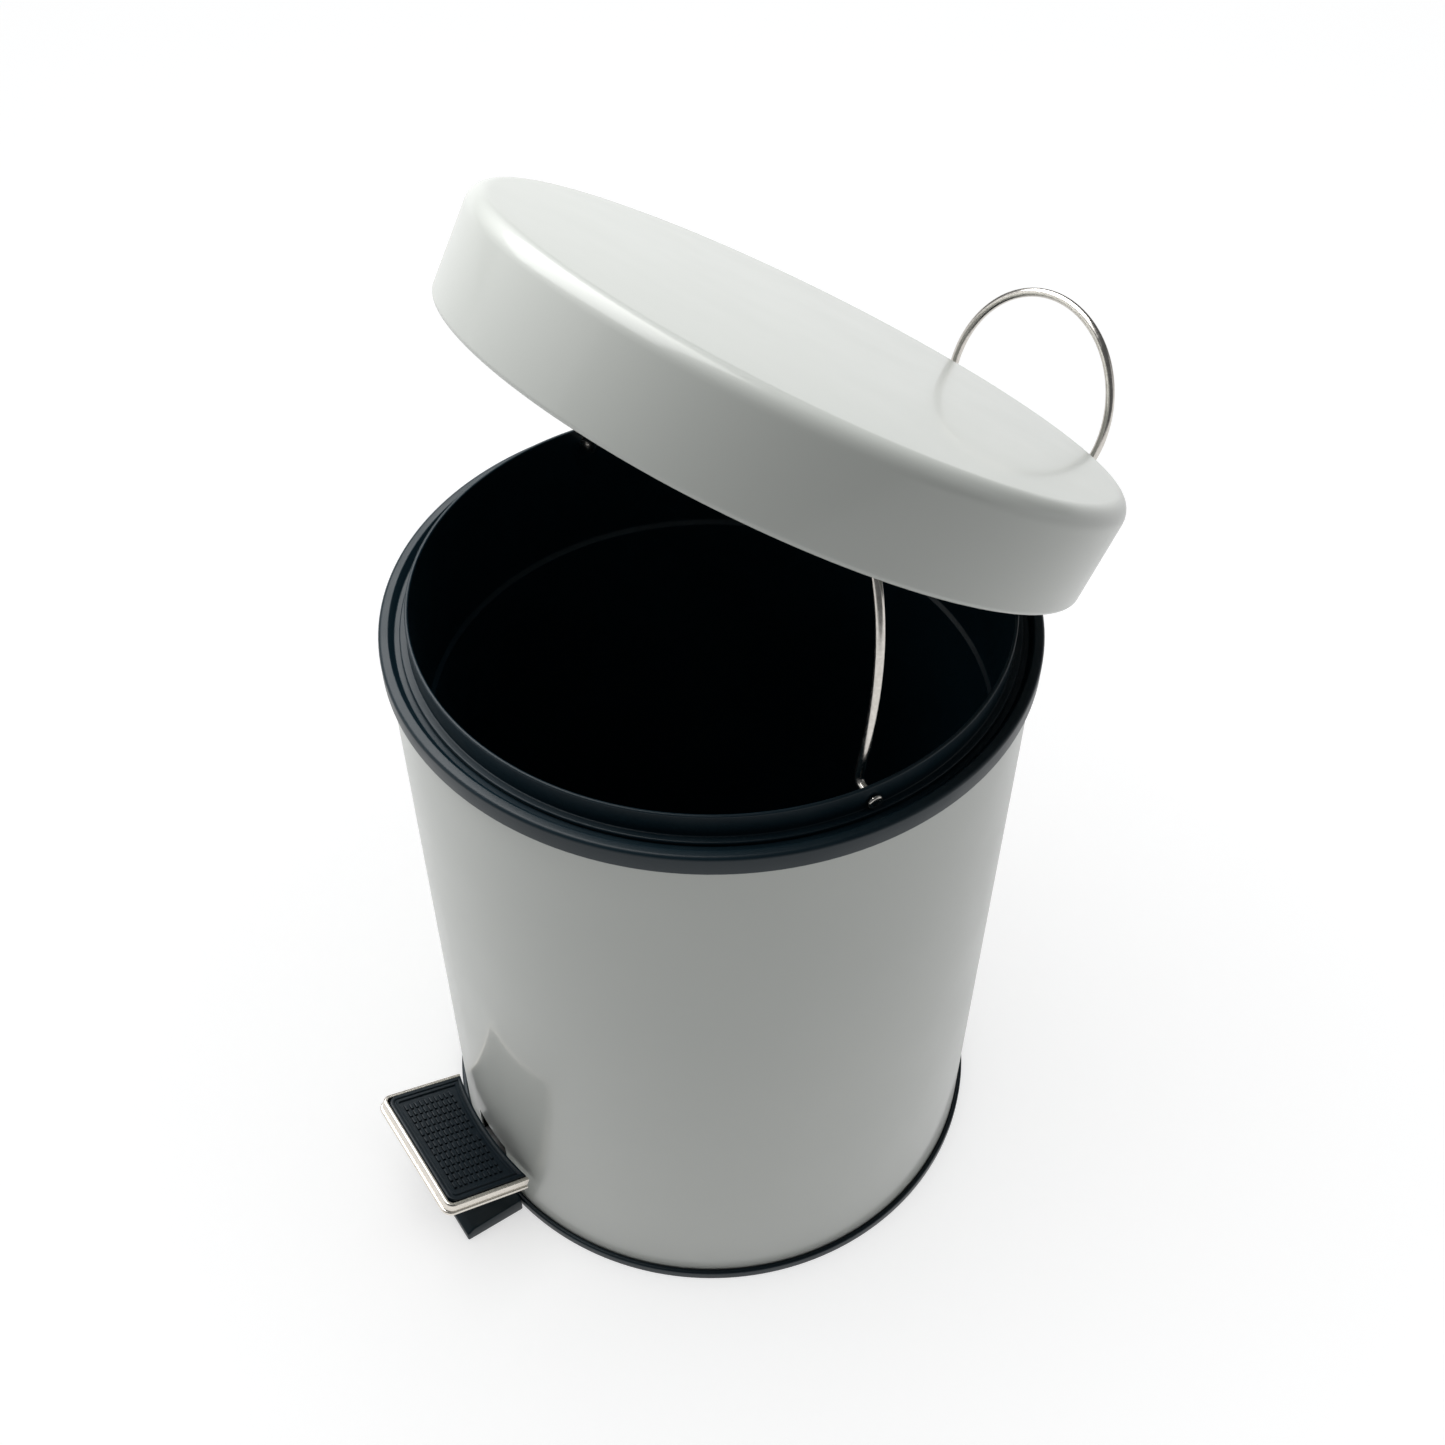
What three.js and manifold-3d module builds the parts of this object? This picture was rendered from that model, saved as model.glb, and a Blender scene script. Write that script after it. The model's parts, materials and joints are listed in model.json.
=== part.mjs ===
// A five litre pedal bin: painted steel shell and lid, black plastic base, rim ring and inner bucket,
// a wire bail on the bucket, a wire loop behind the lid, and a pedal that lifts the lid through a rod.
// Millimetres, +Z up, origin at the centre of the base on the floor, pedal towards -Y, hinge towards +Y.
// The model stands with its lid part open, propped on the raised bail.
import * as THREE from 'three';
import { mergeVertices } from 'three/addons/utils/BufferGeometryUtils.js';
import Module from 'manifold-3d';

const wasm = await Module();
wasm.setup();

// Driving dimensions
const SHELL_R = 100.8;            // outside radius of the painted shell
const SHEET = 0.6;                // painted sheet thickness
const GAP = 0.3;                  // clearance between separate pieces
const ROUND_SEGMENTS = 60;        // facets round the big turned pieces
const SHELL_TOP = 241.4;
const SHELL_BOTTOM = 2.4;

const BASE_R = 102.7;
const BASE_LIP = 4.0;             // height of the black lip below the paint
const FLOOR_TOP = 3.0;
const TONGUE = { halfWidth: 21.2, reach: 125, height: 7 };

const RING_R = 102.6;
const RING_BOTTOM = 237.4;
const RING_TOP = 244.4;
const RING_SHELF = 242.0;
const RING_BORE = 94.6;

const COLLAR_R = 93.8;            // outside radius of the bucket's collar
const COLLAR_TOP = 251.5;
const BUCKET_WALL = 1.2;
const BUCKET_FLANGE_R = 96.2;
const BUCKET_STEP_Z = 200;        // where the inside wall steps in
const BUCKET_FLOOR = 33;
const BUCKET_FOOT_R = 84;

const LID_R = 102.3;
const LID_FLARE = 0.5;            // how much wider the skirt is at its top
const LID_HEIGHT = 31.6;
const LID_CORNER = 4.5;
const LID_CLOSED_Z = 244.9;       // bottom edge of the skirt when shut
const LID_OPEN = THREE.MathUtils.degToRad(32.6);
const HINGE = { y: 104.0, z: 239.3, pinR: 1.5, barrelR: 3.5, earR: 4.2, barrelHalf: 6.5, earOuter: 13 };

const BAIL = { wireR: 1.4, halfSpan: 85.5, height: 89, squareness: 2.9, pivotZ: 245.8, stubEnd: 95.4 };
const BAIL_TURN = THREE.MathUtils.degToRad(-10.5);   // the bucket sits a little turned in the shell
const BAIL_LEAN = THREE.MathUtils.degToRad(82);     // from lying flat at the rear

const LOOP = {
  wireR: 1.5, pivotY: 124, pivotZ: 225, centre: 38.5, halfWidth: 33.2, halfHeight: 34.8, footX: 17,
};
const LOOP_LEAN = THREE.MathUtils.degToRad(19.5);

const ROD = { x: 4, y: 97.2, r: 1.4, topLegX: -3.6, lowLegX: 12.4, bend: 1.2 };
const ROD_TOP = HINGE.z - 0.62;
const ROD_BOTTOM = 14;
const FORK = { halfThick: 1.6, slotHalf: 1.85, start: 4.6, end: 9.4, halfWidth: 3.1 };

const AXLE = { y: 35, z: 10.5, r: 2.0, half: 16 };
const LEVER = { half: 8, thick: 2.2, hubR: 4.4 };
const PEDAL = { half: 28, rearR: 103.2, frontY: -133.9, topZ: 31, turnY: -102, depth: 5.2, lip: 1.2 };
const PEDAL_TILT = THREE.MathUtils.degToRad(19.8);
const PEDAL_TURN = THREE.MathUtils.degToRad(-4.9);   // base and pedal sit a little turned in the shell
const EAR_X = 8.2;                // where the rod's lower leg meets the lever's ear

const LEVER_WAY_HALF = 10.5;      // half width of the ways cut for the lever, in front and behind
const REAR_NOTCH_HALF = 9;        // half width of the notches behind for the lid's lever
const FLANGE_NOTCH_HALF = 7;      // half width of the gap in the bucket's flange above fork and rod

const SCREW_XS = [-15, 15];
const SCREW_Z = 212;
const RIVET_X = -5;
const GUIDE_Z = 120;
const LID_RIVET_YS = [70, 88];
const PEDAL_RIVET_XS = [-5, 5];
const PEDAL_RIVET_Y = -117;
const RIVET = { shankR: 1.5, holeR: 1.8, headR: 3 };

const FINISH = {
  paint: new THREE.MeshStandardMaterial({ color: 0xd9dbd8, roughness: 0.28, metalness: 0.0 }),
  plastic: new THREE.MeshStandardMaterial({ color: 0x0b1114, roughness: 0.42, metalness: 0.0 }),
  rubber: new THREE.MeshStandardMaterial({ color: 0x0d1216, roughness: 0.7, metalness: 0.0 }),
  wire: new THREE.MeshStandardMaterial({ color: 0xb9b4ab, roughness: 0.25, metalness: 1.0 }),
  stainless: new THREE.MeshStandardMaterial({ color: 0xc9c4ba, roughness: 0.3, metalness: 1.0 }),
  zinc: new THREE.MeshStandardMaterial({ color: 0x9a9c9c, roughness: 0.45, metalness: 1.0 }),
};

// Solids and booleans

function toSolid(geometry) {
  const bare = geometry.clone();
  bare.deleteAttribute('normal');
  bare.deleteAttribute('uv');
  const merged = mergeVertices(bare, 1e-4);
  const vertProperties = new Float32Array(merged.attributes.position.array);
  const triVerts = new Uint32Array(merged.index.array);
  if (signedVolume(vertProperties, triVerts) < 0) {
    for (let i = 0; i < triVerts.length; i += 3) {
      [triVerts[i + 1], triVerts[i + 2]] = [triVerts[i + 2], triVerts[i + 1]];
    }
  }
  return new wasm.Manifold(new wasm.Mesh({ numProp: 3, vertProperties, triVerts }));
}

function signedVolume(positions, indices) {
  const corner = (k) => new THREE.Vector3().fromArray(positions, 3 * indices[k]);
  let total = 0;
  for (let i = 0; i < indices.length; i += 3) {
    total += corner(i).dot(corner(i + 1).cross(corner(i + 2))) / 6;
  }
  return total;
}

function toGeometry(solid) {
  const mesh = solid.getMesh();
  const geometry = new THREE.BufferGeometry();
  geometry.setAttribute('position', new THREE.BufferAttribute(new Float32Array(mesh.vertProperties), 3));
  geometry.setIndex(new THREE.BufferAttribute(new Uint32Array(mesh.triVerts), 1));
  geometry.computeVertexNormals();
  return geometry;
}

const cut = (blank, ...tools) => tools.reduce((solid, tool) => solid.subtract(tool), blank);
const join = (first, ...others) => others.reduce((solid, other) => solid.add(other), first);

// A turned piece from (radius, height) points; the outline closes on itself or ends on the axis.
function turned(outline, segments = ROUND_SEGMENTS) {
  const onAxis = outline[0][0] === 0 && outline[outline.length - 1][0] === 0;
  const closed = onAxis ? outline : [...outline, outline[0]];
  const points = closed.map(([r, z]) => new THREE.Vector2(r, z));
  return toSolid(new THREE.LatheGeometry(points, segments).rotateX(Math.PI / 2));
}

function box(x0, x1, y0, y1, z0, z1) {
  const geometry = new THREE.BoxGeometry(x1 - x0, y1 - y0, z1 - z0);
  return toSolid(geometry.translate((x0 + x1) / 2, (y0 + y1) / 2, (z0 + z1) / 2));
}

// A round bar between two points.
function bar(from, to, radius, sides = 16) {
  const a = new THREE.Vector3(...from);
  const b = new THREE.Vector3(...to);
  const along = b.clone().sub(a);
  const geometry = new THREE.CylinderGeometry(radius, radius, along.length(), sides);
  const up = new THREE.Vector3(0, 1, 0);
  const turn = new THREE.Quaternion().setFromUnitVectors(up, along.clone().normalize());
  geometry.applyQuaternion(turn);
  const middle = a.add(b).multiplyScalar(0.5);
  return toSolid(geometry.translate(middle.x, middle.y, middle.z));
}

// The turn of the base and the pedal about the bin's axis.
function askew(solid) {
  return toSolid(toGeometry(solid).rotateZ(PEDAL_TURN));
}

// A side profile of (y, z) points extruded across X.
function across(points, x0, x1) {
  const shape = new THREE.Shape(points.map(([y, z]) => new THREE.Vector2(y, z)));
  const geometry = new THREE.ExtrudeGeometry(shape, { depth: x1 - x0, bevelEnabled: false });
  const basis = new THREE.Matrix4().makeBasis(
    new THREE.Vector3(0, 1, 0), new THREE.Vector3(0, 0, 1), new THREE.Vector3(1, 0, 0));
  geometry.applyMatrix4(basis);
  return toSolid(geometry.translate(x0, 0, 0));
}

function wire(curve, radius, steps, sides = 10) {
  const section = new THREE.Shape();
  for (let i = 0; i < sides; i += 1) {
    const angle = (2 * Math.PI * i) / sides;
    const place = [radius * Math.cos(angle), radius * Math.sin(angle)];
    if (i === 0) section.moveTo(...place);
    else section.lineTo(...place);
  }
  section.closePath();
  return toSolid(new THREE.ExtrudeGeometry(section, { steps, extrudePath: curve, bevelEnabled: false }));
}

// Points of an arc in a side profile, about (cy, cz), angles in degrees.
function arcPoints(cy, cz, radius, from, to, count) {
  return Array.from({ length: count + 1 }, (_, i) => {
    const angle = THREE.MathUtils.degToRad(from + ((to - from) * i) / count);
    return [cy + radius * Math.cos(angle), cz + radius * Math.sin(angle)];
  });
}

// Root pieces

function outerShell() {
  const tube = turned([
    [SHELL_R - SHEET, SHELL_BOTTOM + GAP], [SHELL_R, SHELL_BOTTOM + GAP],
    [SHELL_R, SHELL_TOP], [SHELL_R - SHEET, SHELL_TOP],
  ]);
  const pedalSlot = askew(box(-10, 10, -SHELL_R - 5, -SHELL_R + 10, 7, 28));
  const leverNotch = box(-REAR_NOTCH_HALF, REAR_NOTCH_HALF, SHELL_R - 8, SHELL_R + 5, 226, SHELL_TOP + 5);
  const screwHoles = SCREW_XS.map((x) => bar([x, 90, SCREW_Z], [x, 110, SCREW_Z], 1.9));
  const rivetHole = bar([RIVET_X, 90, GUIDE_Z], [RIVET_X, 110, GUIDE_Z], RIVET.holeR);
  return cut(tube, pedalSlot, leverNotch, ...screwHoles, rivetHole);
}

// Floor, rim groove for the shell, front tongue under the pedal and two posts for the lever's axle.
function base() {
  const inner = SHELL_R - SHEET - GAP;
  const disc = turned([
    [0, 0], [14, 0], [14, 1.2], [92, 1.2], [92, 0], [BASE_R, 0],
    [BASE_R, BASE_LIP - 0.5], [BASE_R - 0.5, BASE_LIP],
    [SHELL_R + GAP, BASE_LIP], [SHELL_R + GAP, SHELL_BOTTOM], [inner, SHELL_BOTTOM],
    [inner, 9], [inner - 1.6, 9], [inner - 1.6, FLOOR_TOP], [0, FLOOR_TOP],
  ]);
  const { halfWidth, reach, height } = TONGUE;
  const tongue = across([
    [-SHELL_R - GAP - 0.4, 0], [-SHELL_R - GAP - 0.4, height], [-reach + 3, height - 1],
    [-reach, height - 3], [-reach, 0],
  ], -halfWidth, halfWidth);
  const post = [
    [AXLE.y - 7, FLOOR_TOP - 1], [AXLE.y - 4.5, AXLE.z],
    ...arcPoints(AXLE.y, AXLE.z, 4.5, 180, 0, 8), [AXLE.y + 7, FLOOR_TOP - 1],
  ];
  const posts = [across(post, -13, -9), across(post, 9, 13)];
  const axleHole = bar([-20, AXLE.y, AXLE.z], [20, AXLE.y, AXLE.z], AXLE.r + GAP);
  const wayInFront = box(-LEVER_WAY_HALF, LEVER_WAY_HALF, -SHELL_R - 3.5, -SHELL_R + 6, FLOOR_TOP + 2, 20);
  const wayBehind = box(-LEVER_WAY_HALF, LEVER_WAY_HALF, SHELL_R - 6, SHELL_R + 3.5, FLOOR_TOP + 2, 20);
  return cut(join(disc, ...[tongue, ...posts].map(askew)), ...[axleHole, wayInFront, wayBehind].map(askew));
}

// Black ring that clips over the shell's top edge; the bucket's flange rests on its shelf.
function topRing() {
  const grip = SHELL_R + GAP;
  const inside = SHELL_R - SHEET - GAP;
  const ring = turned([
    [grip, RING_BOTTOM], [RING_R - 0.4, RING_BOTTOM], [RING_R, RING_BOTTOM + 0.8], [RING_R, RING_TOP - 1.6],
    [RING_R - 0.5, RING_TOP - 0.5], [RING_R - 1.6, RING_TOP], [99.4, RING_TOP], [98.0, RING_SHELF],
    [RING_BORE, RING_SHELF], [RING_BORE, RING_SHELF - 1.8], [97.6, RING_SHELF - 1.8], [97.6, 234],
    [inside, 234], [inside, SHELL_TOP + GAP], [grip, SHELL_TOP + GAP],
  ]);
  return cut(ring, box(-REAR_NOTCH_HALF, REAR_NOTCH_HALF, 85, 110, 220, 260));
}

// Inner bucket: foot, tapering wall, a step, the collar that stands above the ring, and its small flange,
// which has a gap behind above the fork and the rod.
function innerBucket() {
  const collarIn = COLLAR_R - BUCKET_WALL;
  const stepOut = 92.6;
  const shelf = RING_SHELF + GAP;
  const bucket = turned([
    [0, BUCKET_FLOOR], [BUCKET_FOOT_R - 3, BUCKET_FLOOR], [BUCKET_FOOT_R, BUCKET_FLOOR + 3],
    [stepOut, BUCKET_STEP_Z], [COLLAR_R, BUCKET_STEP_Z + 3], [COLLAR_R, shelf], [BUCKET_FLANGE_R, shelf],
    [BUCKET_FLANGE_R, shelf + 1.2], [COLLAR_R, shelf + 1.2], [COLLAR_R, COLLAR_TOP - 0.5],
    [COLLAR_R - 0.5, COLLAR_TOP], [collarIn, COLLAR_TOP], [collarIn, BUCKET_STEP_Z + 3],
    [stepOut - BUCKET_WALL - 0.2, BUCKET_STEP_Z + 1.6], [BUCKET_FOOT_R - BUCKET_WALL, BUCKET_FLOOR + 4],
    [BUCKET_FOOT_R - 4, BUCKET_FLOOR + 1.6], [0, BUCKET_FLOOR + 1.6],
  ]);
  const axis = bailAxis();
  const holeR = BAIL.wireR + GAP + 0.1;
  const holes = [-1, 1].map((side) => bar(
    [side * 85 * axis.x, side * 85 * axis.y, BAIL.pivotZ],
    [side * 100 * axis.x, side * 100 * axis.y, BAIL.pivotZ], holeR));
  const aroundCollar = turned([[0, 230], [COLLAR_R + 0.2, 230], [COLLAR_R + 0.2, 260], [0, 260]]);
  const behind = box(-FLANGE_NOTCH_HALF, FLANGE_NOTCH_HALF, 90, 100, shelf - 1, shelf + 2);
  return cut(bucket, cut(behind, aroundCollar), ...holes);
}

// Housing behind the shell: two ears for the hinge pin and two sockets for the wire loop.
function hingeBracket() {
  const face = SHELL_R + GAP + 0.3;
  const block = across([
    [face - 4, 200], [108, 200], [126, 216], [130, 217.5], [131.5, 222],
    [129, 226], [119, 226], [108, 231], [face - 4, 231],
  ], -24, 24);
  const ear = [
    [face - 2, 229], [HINGE.y + HINGE.earR, 229], ...arcPoints(HINGE.y, HINGE.z, HINGE.earR, 0, 180, 10),
    [face - 2, 231],
  ];
  const ears = [across(ear, -HINGE.earOuter, -7), across(ear, 7, HINGE.earOuter)];
  const shellClear = turned([
    [0, 190], [face, 190], [face, 236.6], [RING_R + GAP, 236.6], [RING_R + GAP, 260], [0, 260],
  ]);
  const pinHole = bar([-20, HINGE.y, HINGE.z], [20, HINGE.y, HINGE.z], HINGE.pinR + 0.1);
  const leverWay = box(-7, 7, 95, 112, 226.5, 250);
  const screwHoles = SCREW_XS.map((x) => bar([x, 90, SCREW_Z], [x, 114, SCREW_Z], RIVET.holeR));
  const sockets = [-LOOP.footX, LOOP.footX].map((x) => bar(
    loopPoint(x, -7).toArray(), loopPoint(x, 12).toArray(), LOOP.wireR + GAP));
  return cut(join(block, ...ears), shellClear, pinHole, leverWay, ...screwHoles, ...sockets);
}

function hingePin() {
  const end = HINGE.earOuter + 1;
  return bar([-end, HINGE.y, HINGE.z], [end, HINGE.y, HINGE.z], HINGE.pinR);
}

// Screw from inside the shell into the bracket.
function bracketScrew(x) {
  const head = bar([x, SHELL_R - SHEET - 4.0, SCREW_Z], [x, SHELL_R - SHEET - 2.1, SCREW_Z], 2.8);
  const shank = bar([x, SHELL_R - SHEET - 2.6, SCREW_Z], [x, 112, SCREW_Z], RIVET.shankR);
  return join(head, shank);
}

// A point in the leaning plane of the loop, up from its feet.
function loopPoint(x, up) {
  const behind = LOOP.pivotY + up * Math.sin(LOOP_LEAN);
  return new THREE.Vector3(x, behind, LOOP.pivotZ + up * Math.cos(LOOP_LEAN));
}

function handleLoop() {
  const half = [[LOOP.footX, -6], [LOOP.footX, -1], [LOOP.footX + 0.1, 4]];
  for (let degrees = -44; degrees <= 90; degrees += 13.4) {
    const angle = THREE.MathUtils.degToRad(degrees);
    half.push([LOOP.halfWidth * Math.cos(angle), LOOP.centre + LOOP.halfHeight * Math.sin(angle)]);
  }
  const outline = [...half, ...half.slice(0, -1).reverse().map(([x, up]) => [-x, up])];
  const points = outline.map(([x, up]) => loopPoint(x, up));
  const curve = new THREE.CatmullRomCurve3(points, false, 'centripetal');
  return wire(curve, LOOP.wireR, 64);
}

function rodGuide() {
  const block = box(-9, 9, 94, 101, GUIDE_Z - 4, GUIDE_Z + 4);
  const fitR = SHELL_R - SHEET - GAP;
  const insideShell = turned([[0, 100], [fitR, 100], [fitR, 140], [0, 140]]);
  const rodHole = bar([ROD.x, ROD.y, 100], [ROD.x, ROD.y, 140], ROD.r + GAP);
  const rivetHole = bar([RIVET_X, 90, GUIDE_Z], [RIVET_X, 110, GUIDE_Z], RIVET.holeR);
  return cut(block.intersect(insideShell), rodHole, rivetHole);
}

function rodGuideRivet() {
  const inner = bar([RIVET_X, 92.2, GUIDE_Z], [RIVET_X, 93.7, GUIDE_Z], RIVET.headR);
  const shank = bar([RIVET_X, 93, GUIDE_Z], [RIVET_X, 102, GUIDE_Z], RIVET.shankR);
  const outer = bar([RIVET_X, SHELL_R + GAP, GUIDE_Z], [RIVET_X, SHELL_R + 1.4, GUIDE_Z], RIVET.headR);
  return join(inner, shank, outer);
}

function leverAxle() {
  return askew(bar([-AXLE.half, AXLE.y, AXLE.z], [AXLE.half, AXLE.y, AXLE.z], AXLE.r));
}

// Lid, built shut in place and turned open about the hinge line by its group

function lidShell() {
  const top = LID_CLOSED_Z + LID_HEIGHT;
  const wide = LID_R + LID_FLARE;
  const corner = arcPoints(wide - LID_CORNER, top - LID_CORNER, LID_CORNER, 0, 90, 6);
  const cornerIn = arcPoints(wide - LID_CORNER, top - LID_CORNER, LID_CORNER - SHEET, 90, 0, 6);
  return turned([
    [LID_R - SHEET, LID_CLOSED_Z], [LID_R, LID_CLOSED_Z], ...corner, [0, top],
  ].concat([[0, top - SHEET]], cornerIn));
}

// Plate inside the lid: riveted under the top, down behind the skirt to the barrel, with a fork
// for the rod.
function lidHingePlate() {
  const under = LID_CLOSED_Z + LID_HEIGHT - SHEET - GAP;
  const strap = across([
    [62, under - 1.8], [98.4, under - 1.8], [98.4, 243.4], [HINGE.y - 3, HINGE.z], [HINGE.y, HINGE.z],
    [HINGE.y, HINGE.z + 3], [100.4, 243.9], [100.4, under - 4], [97, under], [62, under],
  ], -HINGE.barrelHalf, HINGE.barrelHalf);
  const { y, z, barrelHalf, barrelR } = HINGE;
  const barrel = bar([-barrelHalf, y, z], [barrelHalf, y, z], barrelR, 20);
  const forkAngle = Math.atan2(ROD_TOP - HINGE.z, ROD.y - HINGE.y) + LID_OPEN;
  const alongFork = (r, side) => [
    HINGE.y + r * Math.cos(forkAngle) - side * Math.sin(forkAngle),
    HINGE.z + r * Math.sin(forkAngle) + side * Math.cos(forkAngle),
  ];
  const { halfThick, slotHalf, start, end, halfWidth } = FORK;
  const bladeOutline = [[0, -halfWidth], [end, -halfWidth], [end, halfWidth], [0, halfWidth]];
  const slotOutline = [[start, -slotHalf], [end + 5, -slotHalf], [end + 5, slotHalf], [start, slotHalf]];
  const blade = across(bladeOutline.map(([r, side]) => alongFork(r, side)), -halfThick, halfThick);
  const slot = across(slotOutline.map(([r, side]) => alongFork(r, side)), -10, 10);
  const pinHole = bar([-20, HINGE.y, HINGE.z], [20, HINGE.y, HINGE.z], HINGE.pinR + 0.2);
  const rivetHoles = LID_RIVET_YS.map((y) => bar([0, y, 260], [0, y, 280], RIVET.holeR));
  return cut(join(strap, barrel, blade), slot, pinHole, ...rivetHoles);
}

function lidRivet(y) {
  const under = LID_CLOSED_Z + LID_HEIGHT - SHEET - GAP;
  const head = bar([0, y, under - 3.4], [0, y, under - 2.1], 3.2);
  const shank = bar([0, y, under - 2.5], [0, y, under - 0.1], RIVET.shankR);
  return join(head, shank);
}

// Bail of the bucket, built standing in its own turned frame

function bailAxis() {
  return new THREE.Vector3(Math.cos(BAIL_TURN), Math.sin(BAIL_TURN), 0);
}

function bucketBail() {
  const rise = new THREE.Vector3(-Math.sin(BAIL_TURN), Math.cos(BAIL_TURN), 0)
    .multiplyScalar(Math.cos(BAIL_LEAN)).add(new THREE.Vector3(0, 0, Math.sin(BAIL_LEAN)));
  const place = (along, up) => bailAxis().multiplyScalar(along).addScaledVector(rise, up)
    .add(new THREE.Vector3(0, 0, BAIL.pivotZ));
  const power = 2 / BAIL.squareness;
  const points = [];
  for (let degrees = 0; degrees <= 180; degrees += 7.5) {
    const angle = THREE.MathUtils.degToRad(degrees);
    const side = Math.sign(Math.cos(angle)) * Math.abs(Math.cos(angle)) ** power;
    points.push(place(BAIL.halfSpan * side, BAIL.height * Math.max(Math.sin(angle), 0) ** power));
  }
  const bow = wire(new THREE.CatmullRomCurve3(points, false, 'centripetal'), BAIL.wireR, 60);
  const stubs = [-1, 1].map((side) => bar(
    place(side * (BAIL.halfSpan - 1.6), 0).toArray(), place(side * BAIL.stubEnd, 0).toArray(), BAIL.wireR));
  return join(bow, ...stubs);
}

// Pedal, lever and rod

function tilted(solid) {
  const turn = new THREE.Matrix4().makeTranslation(0, PEDAL.turnY, PEDAL.topZ)
    .multiply(new THREE.Matrix4().makeRotationX(-PEDAL_TILT))
    .multiply(new THREE.Matrix4().makeTranslation(0, -PEDAL.turnY, -PEDAL.topZ));
  return toSolid(toGeometry(solid).applyMatrix4(turn));
}

// Plan of the foot plate: straight front with round corners, rear edge following the shell.
function pedalPlan(inset, rearR) {
  const half = PEDAL.half - inset;
  const front = PEDAL.frontY + inset;
  const corner = Math.max(4 - inset, 1.5);
  const rearAngle = Math.asin(half / rearR);
  const plan = new THREE.Shape();
  plan.moveTo(-half, front + corner);
  plan.absarc(-half + corner, front + corner, corner, Math.PI, 1.5 * Math.PI, false);
  plan.absarc(half - corner, front + corner, corner, 1.5 * Math.PI, 2 * Math.PI, false);
  plan.absarc(0, 0, rearR, -Math.PI / 2 + rearAngle, -Math.PI / 2 - rearAngle, true);
  plan.closePath();
  return plan;
}

function plate(plan, z0, z1) {
  const geometry = new THREE.ExtrudeGeometry(plan, { depth: z1 - z0, bevelEnabled: false, curveSegments: 8 });
  return toSolid(geometry.translate(0, 0, z0));
}

function pedalTray() {
  const { topZ, depth, lip } = PEDAL;
  const outside = plate(pedalPlan(0, PEDAL.rearR), topZ - depth, topZ);
  const pocket = plate(pedalPlan(lip, PEDAL.rearR - 6), topZ - depth + 1, topZ + 5);
  const holes = PEDAL_RIVET_XS.map((x) => bar([x, PEDAL_RIVET_Y, 10], [x, PEDAL_RIVET_Y, 40], RIVET.holeR));
  return askew(tilted(cut(outside, pocket, ...holes)));
}

function pedalPad() {
  const { topZ, depth, lip } = PEDAL;
  const pad = plate(pedalPlan(lip + GAP, PEDAL.rearR), topZ - depth + 1 + GAP, topZ + 0.5);
  const well = plate(pedalPlan(lip + 4.2, PEDAL.rearR + 3), topZ - 0.4, topZ + 5);
  return askew(tilted(cut(pad, well)));
}

function pedalRivet(x) {
  const floor = PEDAL.topZ - PEDAL.depth;
  const headTop = floor - GAP - LEVER.thick - GAP;
  const head = bar([x, PEDAL_RIVET_Y, floor - 5.2], [x, PEDAL_RIVET_Y, headTop], RIVET.headR);
  const shank = bar([x, PEDAL_RIVET_Y, floor - 4], [x, PEDAL_RIVET_Y, floor + 0.9], RIVET.shankR);
  return askew(tilted(join(head, shank)));
}

// Bent steel strip from under the foot plate, over the axle, to the ear that lifts the rod.
function pedalLever() {
  const { half, thick, hubR } = LEVER;
  const floor = PEDAL.topZ - PEDAL.depth - GAP;
  const foot = tilted(box(-half, half, -130.5, PEDAL.turnY - 3, floor - thick, floor));
  const rearEnd = 10.4;
  const arm = across([
    [AXLE.y, AXLE.z + thick / 2], [91, rearEnd + thick], [91, rearEnd], [AXLE.y, AXLE.z - thick / 2],
    [-101, 15.4], [-106, 15.5], [-108, 17.2], [-109.4, 26.2], [-106.6, 26.2], [-105.4, 18.6], [-102, 17.6],
  ], -half, half);
  const hub = bar([-half, AXLE.y, AXLE.z], [half, AXLE.y, AXLE.z], hubR, 20);
  const earY = ROD.y * Math.cos(PEDAL_TURN) - EAR_X * Math.sin(PEDAL_TURN);
  const ear = across([
    [86, rearEnd + 0.4], ...arcPoints(earY - 0.8, ROD_BOTTOM, 3.0, -70, 110, 8), [86, rearEnd + thick],
  ], -1.4, 1.4);
  const axleHole = bar([-20, AXLE.y, AXLE.z], [20, AXLE.y, AXLE.z], AXLE.r + 0.2);
  const rodHole = bar([-20, earY, ROD_BOTTOM], [20, earY, ROD_BOTTOM], ROD.r + 0.5);
  const rivetHoles = PEDAL_RIVET_XS.map((x) => (
    tilted(bar([x, PEDAL_RIVET_Y, 5], [x, PEDAL_RIVET_Y, 40], RIVET.holeR))));
  return askew(cut(join(foot, arm, hub, ear), axleHole, rodHole, ...rivetHoles));
}

function liftRod() {
  return join(
    bar([ROD.x, ROD.y, ROD_BOTTOM], [ROD.x, ROD.y, ROD_TOP], ROD.r),
    bar([ROD.x - ROD.bend, ROD.y, ROD_BOTTOM], [ROD.lowLegX, ROD.y, ROD_BOTTOM], ROD.r),
    bar([ROD.topLegX, ROD.y, ROD_TOP], [ROD.x + ROD.bend, ROD.y, ROD_TOP], ROD.r),
  );
}

// Assembly

const bin = new THREE.Group();
const lid = new THREE.Group();

function add(parent, name, solid, material) {
  const mesh = new THREE.Mesh(toGeometry(solid), material);
  mesh.name = name;
  parent.add(mesh);
  return mesh;
}

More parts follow.
